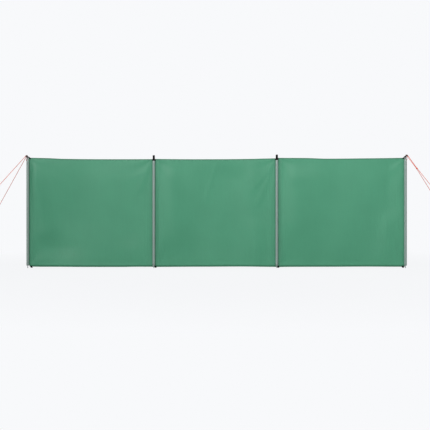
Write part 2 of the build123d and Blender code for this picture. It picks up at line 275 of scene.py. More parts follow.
def woven(name, hex_colour, thread, roughness, sheen, rib=False, specular=0.25):
    """Plain weave, or ribbed weave: threads in relief with painted shade in the gaps between them, uneven
    yarn and soft mottling of the dye.
    """
    material, shader = start(name)
    place = add(material, "ShaderNodeUVMap", uv_map="cloth").outputs["UV"]
    across, along = (add(material, "ShaderNodeTexWave", {"Vector": place, "Scale": band_scale(thread)},
                         bands_direction=direction).outputs["Fac"] for direction in "XY")
    if rib:
        weave = add(material, "ShaderNodeMath", {0: along, 1: 0.6}, operation="POWER").outputs[0]
    else:
        weave = add(material, "ShaderNodeMath", {0: across, 1: along}, operation="MAXIMUM").outputs[0]
    # Yarn 6 mm wide and 400 mm long, clouds of dye, and crumples of about 40 mm
    stretch = (grain_scale(6.25 * MM), grain_scale(400 * MM), 1)
    stretched = add(material, "ShaderNodeMapping", {"Vector": place, "Scale": stretch}).outputs["Vector"]
    yarn = add(material, "ShaderNodeTexNoise", {"Vector": stretched, "Scale": 1.0,
                                                "Detail": 3.0}).outputs["Fac"]
    cloud = add(material, "ShaderNodeTexNoise", {"Vector": place, "Scale": grain_scale(285.7 * MM),
                                                 "Detail": 4.0}).outputs["Fac"]
    crumple = add(material, "ShaderNodeTexNoise", {"Vector": place, "Scale": grain_scale(38.46 * MM),
                                                   "Detail": 5.0, "Roughness": 0.6}).outputs["Fac"]
    tone = add(material, "ShaderNodeMath", {0: yarn, 1: cloud}, operation="ADD").outputs[0]
    tone = add(material, "ShaderNodeMapRange", {"Value": tone, "From Min": 0.75, "From Max": 1.25}).outputs[0]
    mixed = add(material, "ShaderNodeMix", {"Factor": tone, "A": shade(hex_colour, 0.97),
                                            "B": shade(hex_colour, 1.03)}, data_type="RGBA")
    # Painted shade between the threads: the colour drops to nine tenths in the gaps and rises a touch on the
    # crowns
    threads = add(material, "ShaderNodeMapRange", {"Value": weave, "To Min": 0.90, "To Max": 1.02}).outputs[0]
    dark = add(material, "ShaderNodeMix", {"Factor": 1.0, "A": mixed.outputs["Result"], "B": threads},
               data_type="RGBA", blend_type="MULTIPLY")
    gloss = add(material, "ShaderNodeMapRange", {"Value": cloud, "To Min": roughness - 0.06,
                                                 "To Max": roughness + 0.06}).outputs[0]
    finish_with(material, shader, dark.outputs["Result"],
                [(crumple, 0.8 * MM, 0.12), (weave, thread * 0.12, 0.5)], gloss,
                Sheen_Weight=sheen, Sheen_Roughness=0.4, Specular_IOR_Level=specular)
    return material


def hard(name, hex_colour, grain, detail, relief, patch, patch_detail, shades, gloss, **values):
    """Hard skin: a fine grain in relief, and patches or streaks that vary its colour and its gloss.

    Grain is the size of the relief, and relief is its height and strength. Patch is the size of the
    patches along X, Y and Z. Shades and gloss are the darkest and lightest colour and the roughness there.
    """
    material, shader = start(name)
    place = add(material, "ShaderNodeTexCoord").outputs["Object"]
    fine = add(material, "ShaderNodeTexNoise", {"Vector": place, "Scale": grain_scale(grain),
                                                "Detail": detail}).outputs["Fac"]
    stretch = tuple(grain_scale(size) for size in patch)
    stretched = add(material, "ShaderNodeMapping", {"Vector": place, "Scale": stretch}).outputs["Vector"]
    tone = add(material, "ShaderNodeTexNoise", {"Vector": stretched, "Scale": 1.0,
                                                "Detail": patch_detail}).outputs["Fac"]
    mixed = add(material, "ShaderNodeMix", {"Factor": tone, "A": shade(hex_colour, shades[0]),
                                            "B": shade(hex_colour, shades[1])}, data_type="RGBA")
    rough = add(material, "ShaderNodeMapRange", {"Value": tone, "To Min": gloss[0],
                                                 "To Max": gloss[1]}).outputs[0]
    finish_with(material, shader, mixed.outputs["Result"], [(fine,) + relief], rough, **values)
    return material


def coated_steel(name, hex_colour, roughness, peel, metallic=0.0, specular=0.5):
    """Powder-coated steel: a fine orange peel, and long streaks a little dull where it is rubbed."""
    return hard(name, hex_colour, peel, 2.0, (0.05 * MM, 0.35), (11.11 * MM, 11.11 * MM, 833.3 * MM), 4.0,
                (0.93, 1.07), (roughness - 0.08, roughness + 0.10),
                Metallic=metallic, Specular_IOR_Level=specular)


def zinc_steel(name, hex_colour):
    """Zinc-plated steel: bright metal with a cloudy passivated skin and fine drawing marks."""
    return hard(name, hex_colour, 0.714 * MM, 2.0, (0.03 * MM, 0.25), (8.333 * MM,) * 3, 5.0,
                (0.82, 1.08), (0.24, 0.46), Metallic=1.0)


def moulded(name, hex_colour, roughness):
    """Moulded polypropylene: a fine spark-eroded grain, slightly greyed where hands rub it."""
    return hard(name, hex_colour, 0.909 * MM, 3.0, (0.06 * MM, 0.4), (14.29 * MM,) * 3, 3.0,
                (0.8, 1.3), (roughness - 0.07, roughness + 0.07), Specular_IOR_Level=0.1)


def braided(name, hex_colour, strand):
    """Braided polyester cord: strands that cross round it with painted shade in the gaps, stained dark where
    its eye rubs on the pin.
    """
    material, shader = start(name)
    place = add(material, "ShaderNodeUVMap", uv_map="cloth").outputs["UV"]
    waves = []
    for turn in (-1, 1):
        lean = add(material, "ShaderNodeMapping", {"Vector": place, "Rotation": (0, 0, turn * math.pi / 4)})
        waves.append(add(material, "ShaderNodeTexWave", {"Vector": lean.outputs["Vector"],
                                                         "Scale": band_scale(strand)}).outputs["Fac"])
    braid = add(material, "ShaderNodeMath", {0: waves[0], 1: waves[1]}, operation="MAXIMUM").outputs[0]
    # Painted shade: the gaps between the strands are darkened to about six tenths of the orange
    mixed = add(material, "ShaderNodeMix", {"Factor": braid, "A": shade(hex_colour, 0.62),
                                            "B": shade(hex_colour, 1.06)}, data_type="RGBA")
    # The stain ends between 45 and 62 mm along the cord, just past the eye
    run = add(material, "ShaderNodeSeparateXYZ", {0: place}).outputs["Y"]
    stain = add(material, "ShaderNodeMapRange", {"Value": run, "From Min": 45 * MM, "From Max": 62 * MM,
                                                 "To Min": 0.12, "To Max": 1.0}).outputs[0]
    mixed = add(material, "ShaderNodeMix", {"Factor": 1.0, "A": mixed.outputs["Result"], "B": stain},
                data_type="RGBA", blend_type="MULTIPLY")
    finish_with(material, shader, mixed.outputs["Result"], [(braid, 0.25 * MM, 0.7)],
                Roughness=0.62, Sheen_Weight=0.03, Specular_IOR_Level=0.2)
    return material


MATERIALS = {}


def make_materials(colours):
    """All finishes of the windbreak, by the record's slots."""
    MATERIALS.update(
        # Polyurethane-coated polyester, plain weave of 0.3 mm threads drawn at 1.4 mm so that it shows:
        # an even matt green that pales a little where the light grazes it.
        green_cloth=woven("coated_polyester_plain_weave", colours.cloth, 1.4 * MM, 0.46, 0.05, specular=0.35),
        # Polyester binding tape, grosgrain ribs of 0.8 mm drawn at 1.2 mm: darker than the cloth, partly as
        # painted shade under the fold of the hem, no gloss.
        binding_tape=woven("polyester_tape_grosgrain", colours.tape, 1.2 * MM, 0.75, 0.08, rib=True),
        # Strip of the same cloth, weave drawn at 1.2 mm, sewn on flat: a touch lighter than the panels,
        # painted light that offsets the poles' shadow on the seams and end edges.
        seam_cloth=woven("coated_polyester_strip", colours.strip, 1.2 * MM, 0.6, 0.05),
        # Spun polyester thread, 0.4 mm thick and sewn as strokes of 0.7 mm so that they show: short and dull.
        thread=woven("spun_polyester_thread", colours.thread, 0.4 * MM, 0.8, 0.1, rib=True),
        # The same thread in black: dense bars beside the straps.
        black_thread=woven("spun_polyester_thread_black", colours.webbing, 0.4 * MM, 0.8, 0.02, rib=True),
        # Polypropylene webbing, ribs of 1.6 mm across its length: near black, with a dry sheen.
        black_webbing=woven("polypropylene_webbing_ribbed", colours.webbing, 1.6 * MM, 0.85, 0.02, rib=True,
                            specular=0.1),
        # Steel tube with a silver-grey powder coat that holds metal flake, orange peel of 1.4 mm: bright
        # to the lamp, dull away from it.
        grey_tube=coated_steel("steel_tube_powder_coated", colours.tube, 0.42, 1.429 * MM, metallic=0.35),
        # Steel with a thin black coat, orange peel of 1.1 mm: brownish black that hardly shines.
        black_steel=coated_steel("steel_black_coated", colours.pin, 0.55, 1.111 * MM, specular=0.2),
        # Drawn steel with bright zinc plating, clouds of 8 mm: cool pale metal, uneven in its gloss.
        bare_steel=zinc_steel("steel_zinc_plated", colours.zinc),
        # Polypropylene moulded against a spark-eroded tool, grain of 0.9 mm: flat black, greyed in patches.
        black_plastic=moulded("polypropylene_moulded_matt", colours.plastic, 0.68),
        # Polyester cord braided from strands of 1.1 mm: bright orange, darker in a net of painted shade in
        # the gaps between strands.
        orange_cord=braided("polyester_cord_braided", colours.cord, 1.1 * MM),
    )
    MATERIALS["runner_plastic"] = MATERIALS["black_plastic"]


# Meshes. A skin is its points, its faces, and its map or None.


def piece(name, skin, slot, replaces=(), material=None, smooth=True):
    """Make one piece of the windbreak from its skin, and let it ride on the frame."""
    points, faces, uv = skin
    mesh = bpy.data.meshes.new(name)
    mesh.from_pydata([tuple(p) for p in np.asarray(points, float)], [], [tuple(map(int, f)) for f in faces])
    mesh.validate()
    if uv is not None:
        layer = mesh.uv_layers.new(name="cloth")
        corners = np.zeros(len(mesh.loops), np.int32)
        mesh.loops.foreach_get("vertex_index", corners)
        layer.uv.foreach_set("vector", np.asarray(uv, np.float32)[corners].ravel())
    mesh.polygons.foreach_set("use_smooth", [smooth] * len(mesh.polygons))
    mesh.materials.append(MATERIALS[material or slot])
    made = bpy.data.objects.new(name, mesh)
    bpy.context.scene.collection.objects.link(made)
    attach(made, "root")
    if replaces:
        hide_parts(*replaces)


def joined(skins):
    """One skin from several."""
    points, faces, uv, first = [], [], [], 0
    for part_points, part_faces, part_uv in skins:
        points.append(part_points)
        faces += [[i + first for i in face] for face in part_faces]
        uv.append(part_uv)
        first += len(part_points)
    return np.concatenate(points), faces, np.concatenate(uv)


def grid_faces(rows, columns, around=False):
    """Faces of a grid of points in row order. Around joins the last column to the first."""
    last = columns if around else columns - 1
    r, c = np.meshgrid(np.arange(rows - 1), np.arange(last), indexing="ij")
    n = (c + 1) % columns
    faces = np.stack([r * columns + c, r * columns + n, (r + 1) * columns + n, (r + 1) * columns + c], -1)
    return faces.reshape(-1, 4).tolist()


def sweep(profiles, maps=None, ends=True):
    """Skin a row of closed profiles, each an array of as many points, and close its ends."""
    rows, columns = len(profiles), len(profiles[0])
    faces = grid_faces(rows, columns, around=True)
    if ends:
        faces.append(list(range(columns))[::-1])
        faces.append([(rows - 1) * columns + i for i in range(columns)])
    return np.concatenate(profiles), faces, None if maps is None else np.concatenate(maps)


def run_along(path):
    """Distance from the start of a path to each of its points."""
    return np.concatenate([[0], np.cumsum(np.linalg.norm(np.diff(path, axis=0), axis=1))])


def tube_along(path, radius, sides=10):
    """Round tube along a path of points, with frames carried along it."""
    path = np.asarray(path, float)
    tangents = np.gradient(path, axis=0)
    tangents /= np.linalg.norm(tangents, axis=1)[:, None]
    normal = np.cross(tangents[0], (0.0, 0.0, 1.0))
    turns = np.linspace(0, 2 * math.pi, sides, endpoint=False)
    rings, maps = [], []
    for point, tangent, far in zip(path, tangents, run_along(path)):
        normal = normal - tangent * np.dot(normal, tangent)
        normal /= np.linalg.norm(normal)
        other = np.cross(tangent, normal)
        rings.append(point + radius * (np.outer(np.cos(turns), normal) + np.outer(np.sin(turns), other)))
        maps.append(np.stack([turns * radius, np.full(sides, far)], 1))
    return sweep(rings, maps)


def turned(profile, x, ends=True, sides=48):
    """Solid turned about an upright axis at x, from radius and height pairs."""
    turns = np.linspace(0, 2 * math.pi, sides, endpoint=False)
    rings = [np.stack([x + r * np.cos(turns), r * np.sin(turns), np.full(sides, z)], 1) for r, z in profile]
    return sweep(rings, ends=ends)


def rounded(points, radius, steps=4, closed=False):
    """Outline with its corners rounded. An open one keeps its first and last point."""
    if closed:
        points = points[-1:] + points + points[:1]
    out = []
    for before, corner, after in zip(points, points[1:], points[2:]):
        corner = Vector(corner)
        arms = [Vector(p) - corner for p in (before, after)]
        cut = min([radius] + [arm.length * 0.49 for arm in arms])
        a, b = (corner + arm.normalized() * cut for arm in arms)
        for i in range(steps + 1):
            t = i / steps
            out.append(tuple(a * (1 - t) ** 2 + corner * 2 * t * (1 - t) + b * t ** 2))
    return out if closed else [points[0]] + out + [points[-1]]


def smooth_path(path, times):
    """Cut the corners of a path, a few times over. Columns past the second go with its points."""
    data = np.asarray(path, float)
    for _ in range(times):
        near = data[:-1] * 0.75 + data[1:] * 0.25
        far = data[:-1] * 0.25 + data[1:] * 0.75
        data = np.concatenate([data[:1], np.stack([near, far], 1).reshape(-1, data.shape[1]), data[-1:]])
        apart = np.linalg.norm(np.diff(data[:, :2], axis=0), axis=1) > 0.01 * MM
        data = data[np.concatenate([[True], apart])]
    return data


def ribbon(centres, across, half_width, thickness):
    """Webbing along a path of centres, with its width in one direction."""
    centres = np.asarray(centres, float)
    side = np.asarray(across, float)
    normals = np.cross(np.gradient(centres, axis=0), side)
    normals /= np.linalg.norm(normals, axis=1)[:, None]
    # Section: flat in the middle and thin at its woven edges
    share = np.array([-1, -0.985, -0.93, -0.8, -0.4, 0, 0.4, 0.8, 0.93, 0.985, 1])
    lift = np.array([0.0, 0.62, 0.95, 1, 1, 1, 1, 1, 0.95, 0.62, 0.0]) * thickness / 2
    back = slice(-2, 0, -1)
    profiles, maps = [], []
    for centre, normal, half, far in zip(centres, normals, np.broadcast_to(half_width, len(centres)),
                                         run_along(centres)):
        upper = centre + np.outer(share * half, side) + np.outer(lift, normal)
        lower = centre + np.outer(share[back] * half, side) - np.outer(lift[back], normal)
        profiles.append(np.concatenate([upper, lower]))
        spread = np.concatenate([share, share[back]]) * half
        maps.append(np.stack([spread, np.full(len(spread), far)], 1))
    return sweep(profiles, maps)


def smooth(value, low, high):
    """0 below low, 1 above high, and a soft step between."""
    t = np.clip((np.asarray(value, float) - low) / (high - low), 0, 1)
    return t * t * (3 - 2 * t)


def hump(value, middle, width):
    """1 in the middle, falling off softly to both sides."""
    return np.exp(-((value - middle) / width) ** 2)


def between(knots, share):
    """Smooth curve through knots of share and value."""
    share = np.asarray(share, float)
    shares, values = np.array(knots).T
    slot = np.clip(np.searchsorted(shares, share, side="right") - 1, 0, len(shares) - 2)
    low, high = shares[slot], shares[slot + 1]
    return values[slot] + (values[slot + 1] - values[slot]) * smooth((share - low) / (high - low), 0, 1)


# Cloth: every panel, tape and row of stitches lies on the same surface


def pole_x(pole):
    """Centre of a pole along the windbreak."""
    low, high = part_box(f"pole_tube_{pole}")
    return (low.x + high.x) / 2


def pole_radius():
    """Radius of the pole tubes."""
    low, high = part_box("pole_tube_1")
    return (high.x - low.x) / 2


def rim_height(pole):
    """Height of the upper rim of a pole tube."""
    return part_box(f"pole_tube_{pole}")[1].z


def cloth_top(pole):
    """Height of the top edge of the cloth at a pole."""
    rise = PIN_RISE if pole in END_POLES.values() else CAP_RISE
    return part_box(f"pole_top_{pole}")[1].z - rise


def pin_lean(pole, z):
    """How far an end pin stands out from its pole at a height."""
    foot = rim_height(pole) + FLANGE
    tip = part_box(f"pole_top_{pole}")[1].z
    outward = OUTWARD["left" if pole == END_POLES["left"] else "right"]
    return outward * PIN_LEAN * np.clip((z - foot) / (tip - foot), 0, None)


class Bay:
    """One bay of cloth between two poles."""

    def __init__(self, number, sizes):
        low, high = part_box(f"cloth_panel_{number}")
        self.number = number
        self.left, self.right = pole_x(number), pole_x(number + 1)
        self.run = self.right - self.left
        self.start, self.end = low.x, high.x
        self.middle_face = low.y + (high.y - low.y - sizes.bow) / 2
        self.low = low.z
        self.tops = cloth_top(number), cloth_top(number + 1)
        self.bow, self.sag, self.depth = sizes.bow, sizes.sag, sizes.fold_depth
        # Long waves of the cloth: wavelength in metres, lean, share of the fold depth, and where it begins
        draw = np.random.default_rng(40 + number)
        self.waves = [(draw.uniform(0.34, 0.95), draw.uniform(-0.5, 0.5), draw.uniform(0.35, 1.0),
                       draw.uniform(0, 2 * math.pi)) for _ in range(5)]

    def share(self, x):
        """Share of the way from the left pole to the right one."""
        return np.clip((np.asarray(x) - self.left) / self.run, 0, 1)

    def edge(self, side):
        """Where the bay's cloth ends on one side, and the way inward from there."""
        return (self.start, 1) if side == "left" else (self.end, -1)

    def top(self, x):
        """Height of the top edge."""
        share = self.share(x)
        level = self.tops[0] + (self.tops[1] - self.tops[0]) * share - 4 * self.sag * share * (1 - share)
        return level + between(TOP_LIFT[self.number], share) * MM

    def bottom(self, x):
        """Height of the bottom edge."""
        return between(BOTTOM_HEIGHT[self.number], self.share(x)) * MM

    def slack(self, x, z):
        """Long soft waves, as the cloth hangs a little loose."""
        back = np.zeros_like(x + z)
        for wave, lean, depth, begin in self.waves:
            along = x * math.cos(lean) + z * math.sin(lean)
            back += depth * self.depth * np.sin(2 * math.pi * along / wave + begin) / 2
        return back

    def ridges(self, x, z):
        """The bay's own folds, forward. Each widens along its line and dies away past both ends."""
        forward = np.zeros_like(x + z)
        for (x0, z0), (x1, z1), width, height in FOLDS[self.number]:
            size = math.hypot(x1 - x0, z1 - z0)
            dx, dz = (x1 - x0) / size, (z1 - z0) / size
            right, up = x - self.left - x0, z - z0
            along = (right * dx + up * dz) / size
            off = right * dz - up * dx
            beyond = np.maximum(0, np.maximum(-along, along - 1)) * size
            spread = width * (0.7 + 0.6 * np.clip(along, 0, 1))
            forward += height * MM * hump(off, 0, spread) * hump(beyond, 0, 1.5 * width)
        return forward

    def fans(self, x, z):
        """Fine tension folds that fan out from the four corners."""
        back = np.zeros_like(x + z)
        for corner_x, inward in ((self.left, 1), (self.right, -1)):
            for corner_z, upward, count in zip((self.tops[0], self.low), (-1, 1), FAN_COUNTS):
                dx, dz = (x - corner_x) * inward, (z - corner_z) * upward
                far = np.hypot(dx, dz) / FAN_REACH
                turn = np.arctan2(dz, np.maximum(dx, 1e-6))
                rays = np.sin(count * turn + self.number + corner_z)
                back += FAN_DEPTH * far * np.exp(1 - far) * rays * smooth(dx, 10 * MM, 70 * MM)
        return back

    def pleats(self, x):
        """Upright pleats and ridges beside the poles, and creases from packing."""
        from_left, from_right = x - self.left, self.right - x
        back = np.zeros_like(x)
        for off in (from_left, from_right):
            rows = np.sin(2 * math.pi * off / PLEAT_PITCH)
            back += PLEAT_DEPTH * hump(off, PLEAT_PLACE, PLEAT_WIDTH) * rows
        if self.number in INNER_POLES:
            place, width, height = SEAM_RIDGE
            back -= height * hump(from_left, place, width)
        for place in CREASES.get(self.number, ()):
            back += CREASE_DEPTH * hump(from_right, place, CREASE_WIDTH)
        return back

    def folds(self, x, z):
        """How far the cloth stands back from its plain bow."""
        edge = np.minimum(x - self.left, self.right - x)
        share = (z - self.low) / (self.tops[0] - self.low)
        # The poles hold the cloth flat, and the hems let about a third of each fold through
        loose = 0.30 + 0.70 * smooth(np.minimum(share, 1 - share), 0.0, 0.2)
        loose = loose * smooth(edge, 10 * MM, 110 * MM)
        back = (self.slack(x, z) - self.ridges(x, z)) * loose + self.fans(x, z) + self.pleats(x)
        place, width, height = HEM_RIDGE
        return back - height * hump(z - self.bottom(x), place, width) * smooth(edge, 30 * MM, 60 * MM)

    def surface(self, x, z):
        """Middle of the cloth at x and z, as y: a large circle between the poles, with its folds."""
        radius = (self.run ** 2 / 4 + self.bow ** 2) / (2 * self.bow)
        middle = (self.left + self.right) / 2
        bow = self.bow - radius + np.sqrt(radius ** 2 - (x - middle) ** 2)
        return self.middle_face + bow + self.folds(x, z)

    def place(self, x, z, out=0.0):
        """Points of the cloth at x and z, moved out along its face: minus is in front."""
        x, z, out = np.broadcast_arrays(np.asarray(x, float), np.asarray(z, float), np.asarray(out, float))
        step = 1 * MM
        y = self.surface(x, z)
        slope_x = (self.surface(x + step, z) - self.surface(x - step, z)) / (2 * step)
        slope_z = (self.surface(x, z + step) - self.surface(x, z - step)) / (2 * step)
        size = np.sqrt(slope_x ** 2 + slope_z ** 2 + 1)
        moved = x + self.tuck(x, z) - slope_x / size * out
        return np.stack([moved, y + out / size, z - slope_z / size * out], -1)

    def tuck(self, x, z):
        """Pull of the peg loop on the lower left corner of the windbreak, inward."""
        if self.number != END_BAYS["left"]:
            return np.zeros_like(x)
        near = (1 - smooth(z, self.low, TUCK_HEIGHT)) * (1 - smooth(x - self.left, 0.0, TUCK_WIDTH))
        return CORNER_TUCK * near

    def columns(self, step, fine):
        """Places along the bay, closer together beside the poles."""
        edge = 170 * MM
        return np.concatenate([np.arange(self.start, self.start + edge, fine),
                               np.arange(self.start + edge, self.end - edge, step),
                               np.arange(self.end - edge, self.end, fine), [self.end]])


def cloth_skin(bay, thickness):
    """The cloth of one bay: one sheet with its folds, a real thickness and closed edges."""
    xs = bay.columns(13 * MM, 6.5 * MM)
    rows, columns = 104, len(xs)
    share = np.linspace(0, 1, rows)
    x = np.broadcast_to(xs, (rows, columns))
    z = bay.bottom(x) + share[:, None] * (bay.top(x) - bay.bottom(x))
    layers = [bay.place(x, z, face * thickness / 2).reshape(-1, 3) for face in FACES]
    count = rows * columns
    faces = grid_faces(rows, columns)
    faces += [[i + count for i in face[::-1]] for face in grid_faces(rows, columns)]
    # Once round the edge: bottom, right end, top and left end
    ring = list(range(columns))
    ring += [r * columns + columns - 1 for r in range(1, rows)]
    ring += [(rows - 1) * columns + c for c in range(columns - 2, -1, -1)]
    ring += [r * columns for r in range(rows - 2, 0, -1)]
    for a, b in zip(ring, ring[1:] + ring[:1]):
        faces.append([b, a, a + count, b + count])
    uv = np.tile(np.stack([x, z], -1).reshape(-1, 2), (2, 1))
    return np.concatenate(layers), faces, uv


def fold_profile(depth, inner, outer):
    """Section of a tape folded over an edge: pairs of depth below the edge and offset from the cloth."""
    bead = 0.5 * MM
    side = np.array([1.0, 0.82, 0.64, 0.5, 0.3, 0.12, 0.0])
    puff = np.array([-1.0, 0.15, 0.5, 0.3, 0.5, 0.4, 0.0]) * bead
    front = [(depth * s, -outer - p) for s, p in zip(side, puff)]
    over = [(-outer * math.sin(t), -outer * math.cos(t)) for t in np.linspace(0, math.pi, 9)[1:-1]]
    back = [(d, -o) for d, o in front[::-1]]
    inside = [(depth * s, inner) for s in (1.0, 0.5, 0.0)] + [(depth * s, -inner) for s in (0.0, 0.5, 1.0)]
    return np.array(front + over + back + inside)


def folded_tape(bay, sizes, places, to_point, depth):
    """Tape folded over one edge of a bay, as a swept section that wanders a little at its free edge."""
    below, off = fold_profile(depth, sizes.cloth / 2, sizes.cloth / 2 + sizes.tape).T
    free = below > depth * 0.4
    draw = np.random.default_rng(len(places) + bay.number)
    wander = np.convolve(draw.normal(0, 1, len(places) + 8), np.ones(9) / 9, "valid") * 0.5 * MM
    profiles = [to_point(place, below + drift * free, off) for place, drift in zip(places, wander)]
    maps = [np.stack([below + off, np.full(len(below), place)], -1) for place in places]
    return sweep(profiles, maps)


def stitch_run(bay, x, z, out):
    """Path of a row of stitches on a bay, and the directions out of it."""
    x, z = np.broadcast_arrays(np.asarray(x, float), np.asarray(z, float))
    near, far = bay.place(x, z, out), bay.place(x, z, out * 2)
    normal = far - near
    return near, normal / np.linalg.norm(normal, axis=1)[:, None]


def stitches(runs, pitch, thread=0.7 * MM):
    """Rows of stitches, each a small spindle of thread. A run is its points and the directions out of it."""
    points, faces, uv = [], [], []
    for path, normals in runs:
        path, normals = np.asarray(path), np.asarray(normals)
        far = run_along(path)
        spots = np.arange(pitch / 2, far[-1], pitch)
        at, ahead, behind = (np.stack([np.interp(spots + step, far, line) for line in path.T], 1)
                             for step in (0, 0.5 * MM, -0.5 * MM))
        out = np.stack([np.interp(spots, far, line) for line in normals.T], 1)
        along = ahead - behind
        along /= np.linalg.norm(along, axis=1)[:, None]
        side = np.cross(along, out) * thread / 2
        half = pitch * 0.36
        sunk = out * 0.15 * MM
        ring = [at - along * half - sunk, at + side, at + out * thread * 0.55, at - side, at - out * 0.1 * MM,
                at + along * half - sunk]
        first = len(points) * len(ring)
        points.extend(np.stack(ring, 1))
        uv.extend([np.stack([np.array([0, 1, 2, 3, 4, 0]) * thread, np.array([0, 1, 1, 1, 1, 2]) * half], 1)]
                  * len(at))
        for base in range(first, first + len(at) * len(ring), len(ring)):
            for a, b in ((1, 2), (2, 3), (3, 4), (4, 1)):
                faces.append([base, base + b, base + a])
                faces.append([base + 5, base + a, base + b])
    return np.concatenate(points), faces, np.concatenate(uv)


# Guy lines


def square_up(along):
    """Direction square to a line, as upright as it can be."""
    return along.cross(Vector((0, 0, 1))).cross(along).normalized()


class GuyLine:
    """Place of one guy line: its pin, its peg, and the directions along it, beside it and up its peg."""

    def __init__(self, end, side, sizes):
        self.pole, self.outward = END_POLES[end], OUTWARD[end]
        self.side, self.name = side, f"{end}_{side}"
        self.radius = sizes.cord / 2
        self.reach, self.joined = PEG_REACH[end], JOINED[end]
        self.tip = cloth_top(self.pole) + PIN_RISE
        level = self.tip - EYE_LEVELS[side]
        self.pin = Vector((pole_x(self.pole) + float(pin_lean(self.pole, level)), 0, level))
        ground = Vector((pole_x(self.pole) + self.outward * self.reach, SIDES[side] * PEG_SPREAD[end], 0))
        self.away = Vector((ground.x - self.pin.x, ground.y - self.pin.y, 0)).normalized()
        # Radii of the cord's middle round the pin and round the peg
        self.eye = PIN_RADIUS + self.radius + CLEARANCE
        self.bend = (sizes.peg + sizes.cord) / 2 + CLEARANCE
        self.top = self.pin + self.away * (self.eye + self.radius)
        self.low = ground + square_up((self.top - ground).normalized()) * LOOP_HEIGHT
        self.along = (self.top - self.low).normalized()
        self.lean = square_up(self.along)
        self.across = self.lean.cross(self.along)
        self.runner = self.low + self.along * RUNNER_HEIGHT

    def course(self):
        """Points of the line from its eye down round the peg and back, and its knots."""
        last_hole = 2 * HOLE_SPACING
        turn = np.linspace(-math.pi / 2, -math.pi * 1.45, 16)
        flat = [(x, 0.0) for x in np.linspace((self.top - self.low).length, 20 * MM, 60)[1:]]
        flat += [(self.bend * math.cos(t), self.bend + self.bend * math.sin(t)) for t in turn]
        rise = last_hole - 2 * self.bend
        flat += [(x, 2 * self.bend + rise * x / RUNNER_HEIGHT)
                 for x in np.linspace(20 * MM, RUNNER_HEIGHT + 12 * MM, 14)]
        down = [self.low + self.along * x + self.across * y for x, y in flat]
        aside = self.away.cross(Vector((0, 0, 1)))
        eye = [self.pin + self.away * self.eye * math.cos(t) + aside * self.eye * math.sin(t)
               for t in np.linspace(math.radians(330), math.radians(20), 28)]
        eye.append(self.top + self.away * -0.5 * MM)
        stopper = self.low + self.along * (RUNNER_HEIGHT + 8 * MM) + self.across * last_hole
        knots = [(self.top - self.along * 8 * MM, self.along, 1.9 * self.radius),
                 (stopper, self.along, 2.1 * self.radius)]
        if self.joined:
            down, knot, slope = self.beside_neighbour(down)
            knots.append((knot, slope, 3.2 * self.radius))
        return eye + down, knots

    def beside_neighbour(self, down):
        """Lead the upper part of the line beside its neighbour down to their knot, then to its runner."""
        slope = Vector((self.outward * self.reach, 0, -rim_height(self.pole))).normalized()
        beside = Vector((-slope.z, 0, slope.x)) * 1.05 * self.radius * -SIDES[self.side] * self.outward
        head = Vector((self.top.x, 0, self.top.z)) + beside
        knot = Vector((self.top.x, 0, self.tip - 7 * MM)) + slope * self.joined + beside
        shared = [head.lerp(knot, t) for t in np.linspace(0.06, 1, 12)]
        own = [knot.lerp(self.runner, t) for t in np.linspace(0, 1, 40)[1:]]
        end = (self.runner - knot).dot(slope) + 0.1 * MM
        return shared + own + [p for p in down if (p - knot).dot(slope) > end], knot - beside, slope

    def tail(self):
        """Short end of cord that hangs from the eye's knot, down the outer side of the pole."""
        rim = rim_height(self.pole)
        beside = pole_x(self.pole) + self.outward * (pole_radius() - 2 * MM)
        points = [(self.top.x, self.top.y - 2 * MM, self.pin.z - 2 * MM),
                  (beside + self.outward * 3 * MM, -7 * MM, self.pin.z - 14 * MM),
                  (beside, -13 * MM, rim + 6 * MM), (beside, -16 * MM, rim - 12 * MM)]
        return smooth_path(points, 3)


def guy_lines(sizes):
    """The guy lines of both ends, front and back."""
    return [GuyLine(end, side, sizes) for end in END_POLES for side in SIDES]


def coil(spot, axis, size, radius, wraps=3):
    """Wraps of cord round a line: the body of a knot."""
    first = axis.cross(Vector((0, 0, 1))).normalized()
    second = axis.cross(first)
    ring, rise = size - radius, radius / math.pi
    path = [spot + axis * (t * rise - wraps * radius) + first * ring * math.cos(t)
            + second * ring * math.sin(t) for t in np.linspace(0, 2 * math.pi * wraps, 20 * wraps)]
    return tube_along(path, radius)


def runner_skin(line):
    """Plate with a rounded edge and three round holes, square to its line."""
    low, high = -RUNNER_END, 2 * HOLE_SPACING + RUNNER_END
    corners = [(-RUNNER_HALF_WIDTH, low), (RUNNER_HALF_WIDTH, low), (RUNNER_HALF_WIDTH, high),
               (-RUNNER_HALF_WIDTH, high)]
    outlines = [rounded(corners, RUNNER_CORNER, 6, closed=True)]
    turns = np.linspace(0, 2 * math.pi, 28, endpoint=False)
    for hole in range(3):
        middle = hole * HOLE_SPACING
        outlines.append([(HOLE_RADIUS * math.cos(t), middle + HOLE_RADIUS * math.sin(t)) for t in turns])
    curve = bpy.data.curves.new("runner_outline", "CURVE")
    curve.dimensions = "2D"
    curve.fill_mode = "BOTH"
    curve.extrude = RUNNER_HALF_FLAT
    curve.bevel_depth = RUNNER_EDGE
    curve.bevel_resolution = 3
    curve.offset = -RUNNER_EDGE
    for outline in outlines:
        spline = curve.splines.new("POLY")
        spline.points.add(len(outline) - 1)
        for point, (x, y) in zip(spline.points, outline):
            point.co = (x, y, 0, 1)
        spline.use_cyclic_u = True
    flat = bpy.data.objects.new("runner_outline", curve)
    mesh = bpy.data.meshes.new_from_object(flat)
    points = [line.runner - line.lean * v.co.x + line.across * v.co.y + line.along * v.co.z
              for v in mesh.vertices]
    faces = [list(p.vertices) for p in mesh.polygons]
    bpy.data.objects.remove(flat)
    bpy.data.curves.remove(curve)
    bpy.data.meshes.remove(mesh)
    return points, faces, None


